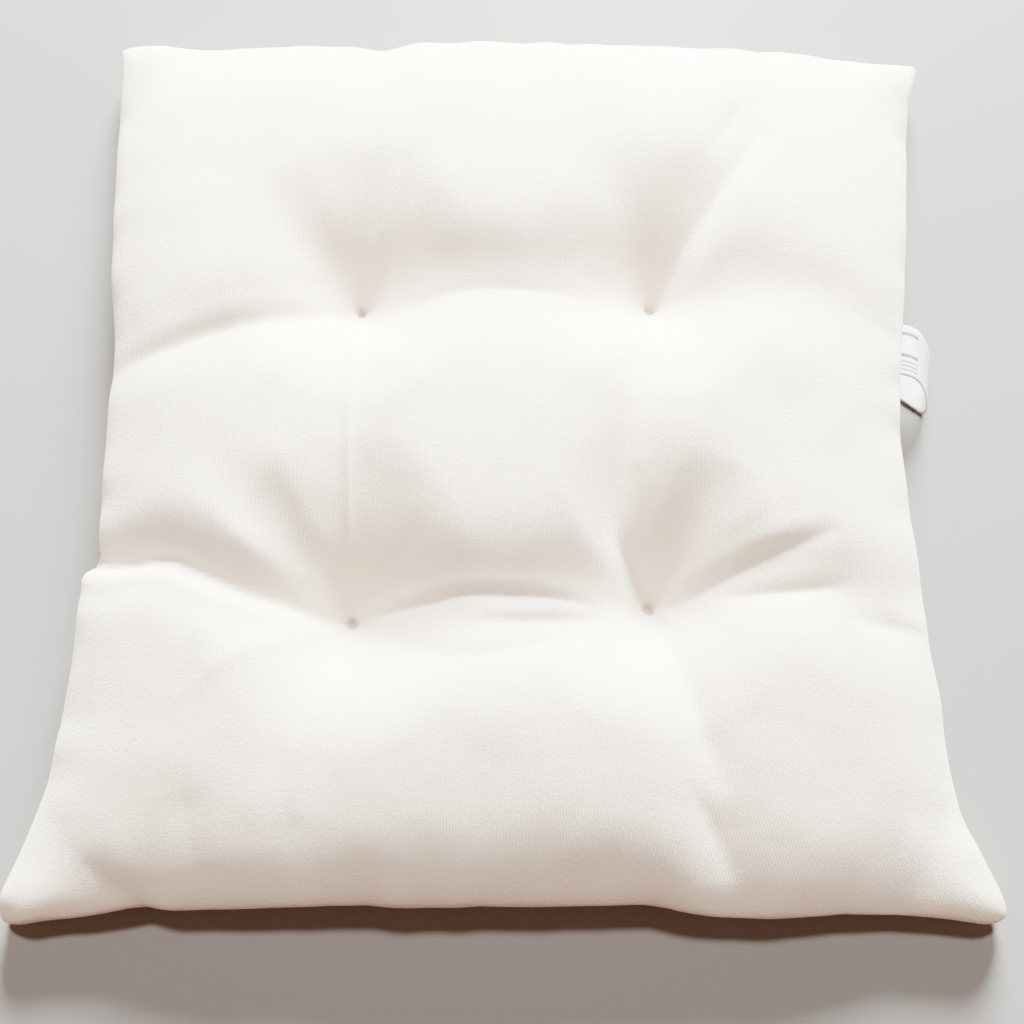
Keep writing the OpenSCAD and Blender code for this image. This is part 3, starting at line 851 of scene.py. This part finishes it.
half = np.arange(0, len(g2), 2)
near = np.where(np.abs(g2) > 0.975)[0]
few = np.unique(np.concatenate([half, near]))
top = place(cover("top_cover_cloth", T, cloth_uv, 1), KNIT, "top_cover")
bottom = place(cover("bottom_cover_cloth", B[np.ix_(few, few)], cloth_uv[np.ix_(few, few)], -1), KNIT, "bottom_cover")


def closed_pair(name, top_pts, bottom_pts):
    """A closed solid between two grids of the same size."""
    h, w = top_pts.shape[:2]
    idx = np.arange(h * w).reshape(h, w)
    quad = lambda q: np.stack([q[:-1, :-1], q[:-1, 1:], q[1:, 1:], q[1:, :-1]], -1).reshape(-1, 4)
    rim = np.concatenate([idx[0, :-1], idx[:-1, -1], idx[-1, :0:-1], idx[:0:-1, 0]])
    nxt = np.roll(rim, -1)
    faces = np.concatenate([quad(idx), quad(idx + h * w)[:, ::-1],
                            np.stack([rim, rim + h * w, nxt + h * w, nxt], -1)])
    return mesh_object(name, np.concatenate([top_pts.reshape(-1, 3), bottom_pts.reshape(-1, 3)]), faces)


inner = np.where(np.abs(g2) < 0.925)[0][::3]
fill_top = (T - 3.0 * MM * grid_normals(T))[np.ix_(inner, inner)]
fill_bottom = (B + 3.0 * MM * grid_normals(B))[np.ix_(inner, inner)]
fill_bottom[..., 2] = np.minimum(np.maximum(fill_bottom[..., 2], 2.0 * MM), fill_top[..., 2] - 1.5 * MM)
fill = place(closed_pair("fibre_fill_batt", fill_top, fill_bottom), FIBRE, "fibre_fill")

# seam: a lockstitch of two threads all round, just inside the seam line, and an overlock on the allowance
at, around = along_rim(T)
count = 2 * int(round(around / 3.0))
s = np.linspace(0, around, count * 3, endpoint=False)
q, way, deep = at(s)
beat = np.cos(2 * math.pi * s * (count / 2) / around)
lift = np.clip(0.5 - 0.75 * beat, 0, 1)
for name, node, z in (("seam_needle_stitch", "seam_needle_thread", 1), ("seam_bobbin_stitch", "seam_bobbin_thread", -1)):
    path = q + way * (1.15 * MM) + np.array([0, 0, z * MM]) * (0.25 + 1.35 * lift)[:, None]
    place(tubes(name, [(path, 0.22 * MM)], closed=True, sides=5), THREAD, node)

turns = int(round(around / 2.4))
s = np.linspace(0, around, turns * 8, endpoint=False)
q, way, deep = at(s)
ph = 2 * math.pi * (np.arange(len(s)) % 8) / 8
mid = 0.5 * (0.35 + 1.04) * deep
reach = 0.5 * (1.04 - 0.35) * deep
path = q + way * ((mid + reach * np.cos(ph)) * MM)[:, None] + np.array([0, 0, MM]) * (1.62 * np.sin(ph))[:, None]
place(tubes("overlock_stitch", [(path, 0.2 * MM)], closed=True, sides=5), THREAD, "overlock_thread")


def cloth_point(P, x, y):
    """Height of a cover at a place in the plan, from its nearest grid points, in mm."""
    d = np.hypot(P[..., 0] / MM - x, P[..., 1] / MM - y)
    k = np.argsort(d.ravel())[:4]
    w = 1 / (d.ravel()[k] + 0.05)
    return float((P[..., 2].ravel()[k] * w).sum() / w.sum() / MM)


# closing: slanted hand stitches over the seam in the middle of the back
back_run = 0.0
path = []
zs = []
bx = np.interp
R, inward, run, deep = rim_frame(T)
n = len(g2) - 1
back = R[2 * n:3 * n + 1] / MM
order = np.argsort(back[:, 0])
bxs, bys, bzs = back[order, 0], back[order, 1], back[order, 2]
pitch = 4.0
count = 30
for k in range(count):
    x0 = -60 + pitch * k
    jig = RNG.uniform(-0.25, 0.25)
    for f, side in ((0.0, -1), (0.12, -1), (0.3, -0.45), (0.42, 0.15), (0.55, 0.75), (0.62, 1), (0.74, 1)):
        x = x0 + pitch * f * 0.8 + jig
        h = side * 1.9
        out = 1.5 * (1 - math.exp(-(h / 2.0) ** 2)) + 0.2
        if f in (0.0, 0.74):
            out = -1.0
        path.append((x, np.interp(x, bxs, bys) + out, np.interp(x, bxs, bzs) + h))
path = np.array(path) * MM
place(tubes("closing_stitches", [(path, 0.24 * MM)]), THREAD, "closing_thread")


def two_ply(path, r, lay):
    """Two strands twisted round each other along a path, r the radius of the pair."""
    p = np.asarray(path, float)
    seg = np.linalg.norm(np.diff(p, axis=0), axis=1)
    run = np.concatenate([[0], np.cumsum(seg)])
    t = np.gradient(p, axis=0)
    t /= np.maximum(np.linalg.norm(t, axis=1, keepdims=True), 1e-12)
    v = np.cross(t[0], (0.3, 0.2, 0.93))
    a, out = [], []
    for k in range(len(p)):
        v = v - t[k] * np.dot(v, t[k])
        v = v / max(np.linalg.norm(v), 1e-12)
        a.append(v.copy())
    a = np.array(a)
    b = np.cross(t, a)
    w = 2 * math.pi * run / lay
    off = 0.5 * r * (np.cos(w)[:, None] * a + np.sin(w)[:, None] * b)
    return [(p + off, 0.52 * r), (p - off, 0.52 * r)]


def resample(path, step):
    p = np.array(curved(path, 10) if len(path[0]) == 2 else path, float)
    run = np.concatenate([[0], np.cumsum(np.linalg.norm(np.diff(p, axis=0), axis=1))])
    k = np.linspace(0, run[-1], max(4, int(run[-1] / step)))
    return np.stack([np.interp(k, run, p[:, i]) for i in range(p.shape[1])], -1)


# tacks: a short bar stitch on top, its strands down through the fill, and a knot underneath
for (i, j), (x, y) in TACKS.items():
    word = ("back" if j > 0 else "front") + "_" + ("left" if i < 0 else "right")
    kt = np.argmin(np.hypot(T[..., 0].ravel() / MM - x, T[..., 1].ravel() / MM - y))
    kb = np.argmin(np.hypot(B[..., 0].ravel() / MM - x, B[..., 1].ravel() / MM - y))
    zt, zb = T[..., 2].ravel()[kt] / MM, B[..., 2].ravel()[kb] / MM
    turn = RNG.uniform(-0.5, 0.5)
    paths = []
    for m, (ang, w) in enumerate(((turn, 1.25), (turn + 0.7, 1.05))):
        c, sn = math.cos(ang), math.sin(ang)
        pts = []
        for f in np.linspace(0, 1, 30):              # up one side, over the cloth and down the other
            if f < 0.4:
                a, z = -w * (0.35 + 0.65 * f / 0.4), zb - 0.6 + (zt - zb + 1.2) * f / 0.4
            elif f < 0.6:
                g = (f - 0.4) / 0.2
                a, z = w * (2 * g - 1), zt + 0.6 + 0.45 * math.sin(math.pi * g) + 0.3 * m
            else:
                g = (f - 0.6) / 0.4
                a, z = w * (1 - 0.65 * g), zt + 0.6 - (zt - zb + 1.2) * g
            pts.append((x + a * c, y + a * sn, z))
        pts = resample(pts, 0.35)
        paths += two_ply(pts * MM, 0.36 * MM, 2.2 * MM)
    knot = []
    for k in range(60):
        a = 2 * math.pi * k / 20 + turn
        knot.append((x + (1.15 + 0.2 * math.sin(1.7 * a)) * math.cos(a), y + (1.15 + 0.2 * math.cos(2.3 * a)) * math.sin(a),
                     zb - 1.6 + 0.55 * k / 20 - 0.3))
    paths += two_ply(np.array(knot) * MM, 0.36 * MM, 2.2 * MM)
    for k in (0, 1):
        a = turn + 2.2 + 1.3 * k
        tail = [(x + 0.9 * math.cos(a), y + 0.9 * math.sin(a), zb - 1.5),
                (x + 2.2 * math.cos(a + 0.2), y + 2.2 * math.sin(a + 0.2), zb - 2.2),
                (x + 4.0 * math.cos(a + 0.1), y + 4.0 * math.sin(a + 0.1), zb - 2.4),
                (x + 5.2 * math.cos(a - 0.2), y + 5.2 * math.sin(a - 0.2), zb - 3.0)]
        paths += two_ply(resample(tail, 0.3) * MM, 0.36 * MM, 2.2 * MM)
    place(tubes("tuft_stitch_" + word, paths, sides=6), TACK_THREAD, "tuft_thread_" + word)

# label: a folded ribbon caught in the right-hand seam, hanging out as an open loop
LABEL_W, LABEL_Y = 24.0, 44.5
LOOP = [(-6.0, 0.4), (-2.5, 0.45), (0.2, 0.6), (3.5, 0.9), (7.5, 0.1), (11.0, -2.0), (14.4, -5.6), (17.2, -10.0), (19.0, -14.6),
        (19.6, -18.4), (18.2, -20.2), (14.0, -20.4), (9.0, -20.4), (4.6, -20.0), (1.6, -18.0), (0.3, -11.0), (-0.6, -3.0), (-2.8, -0.5), (-6.0, -0.4)]
loop = resample(LOOP, 0.5)
rows = []
for f in np.linspace(-0.5, 0.5, 17):
    lean = -11.5 * np.clip(loop[:, 0] / 19.0, 0, 1) ** 1.3 * (0.55 + 0.45 * np.clip(-loop[:, 1] / 16.0, 0, 1))
    y = LABEL_Y + LABEL_W * f + lean
    cockle = 0.35 * np.sin(2.2 * f + 0.25 * loop[:, 0]) * np.clip(loop[:, 0] / 6, 0, 1)
    base = np.interp(LABEL_Y + LABEL_W * f, [9, 30, 41, 52, 92], [168.5, 171, 172.5, 174, 179]) - 1.5
    rows.append(np.stack([base + loop[:, 0] + 0.3 * cockle, y, SEAM_Z + loop[:, 1] + cockle], -1))
rows = np.array(rows) * MM
nr, nc = rows.shape[:2]
rn = np.cross(np.gradient(rows, axis=1), np.gradient(rows, axis=0))
rn /= np.linalg.norm(rn, axis=-1, keepdims=True)
ribbon_t = 0.32 * MM
outer, innr = rows + rn * ribbon_t / 2, rows - rn * ribbon_t / 2
idx = np.arange(nr * nc).reshape(nr, nc)
quad = np.stack([idx[:-1, :-1], idx[1:, :-1], idx[1:, 1:], idx[:-1, 1:]], -1).reshape(-1, 4)
rim = np.concatenate([idx[0, :-1], idx[:-1, -1], idx[-1, :0:-1], idx[:0:-1, 0]])
faces = np.concatenate([quad[:, ::-1], quad + nr * nc, np.stack([rim, np.roll(rim, -1), np.roll(rim, -1) + nr * nc, rim + nr * nc], -1)[:, ::-1]])
run = np.concatenate([[0], np.cumsum(np.linalg.norm(np.diff(loop, axis=0), axis=1))]) * MM
luv = np.stack(np.meshgrid(run, np.linspace(-0.5, 0.5, nr) * LABEL_W * MM, indexing="xy"), -1).reshape(-1, 2)      # along the ribbon, across it
label = mesh_object("side_label_ribbon", np.concatenate([outer.reshape(-1, 3), innr.reshape(-1, 3)]), faces, np.concatenate([luv, luv]))
place(label, RIBBON, "side_label")

# ---------------------------------------------------------------- stage
fm = bpy.data.meshes.new("floor")
fm.from_pydata([(-3, -3, 0), (3, -3, 0), (3, 3, 0), (-3, 3, 0)], [], [(0, 1, 2, 3)])
floor = bpy.data.objects.new("floor", fm)
scene.collection.objects.link(floor)
fmat, ft, fb = node_material("pale_floor")
fb.inputs["Base Color"].default_value = (0.19, 0.182, 0.176, 1)
fb.inputs["Roughness"].default_value = 0.45
fb.inputs["Specular IOR Level"].default_value = 0.1
floor.data.materials.append(fmat)


def area(name, loc, target, size, power, color):
    li = bpy.data.lights.new(name, "AREA")
    li.shape = "DISK"
    li.size = size
    li.energy = power
    li.color = color
    ob = bpy.data.objects.new(name, li)
    scene.collection.objects.link(ob)
    ob.location = loc
    ob.rotation_euler = (Vector(target) - Vector(loc)).to_track_quat("-Z", "Y").to_euler()


area("window", (0.25, 2.0, 0.88), (0, 0, 0), 0.9, 1040, (0.95, 0.995, 0.965))
area("lamp", (-0.05, 0.75, 1.8), (0, 0, 0), 0.22, 58, (1.0, 0.98, 0.92))
world = bpy.data.worlds.new("world")
world.use_nodes = True
world.node_tree.nodes["Background"].inputs["Color"].default_value = (1.0, 0.54, 0.38, 1)
world.node_tree.nodes["Background"].inputs["Strength"].default_value = 0.52
scene.world = world
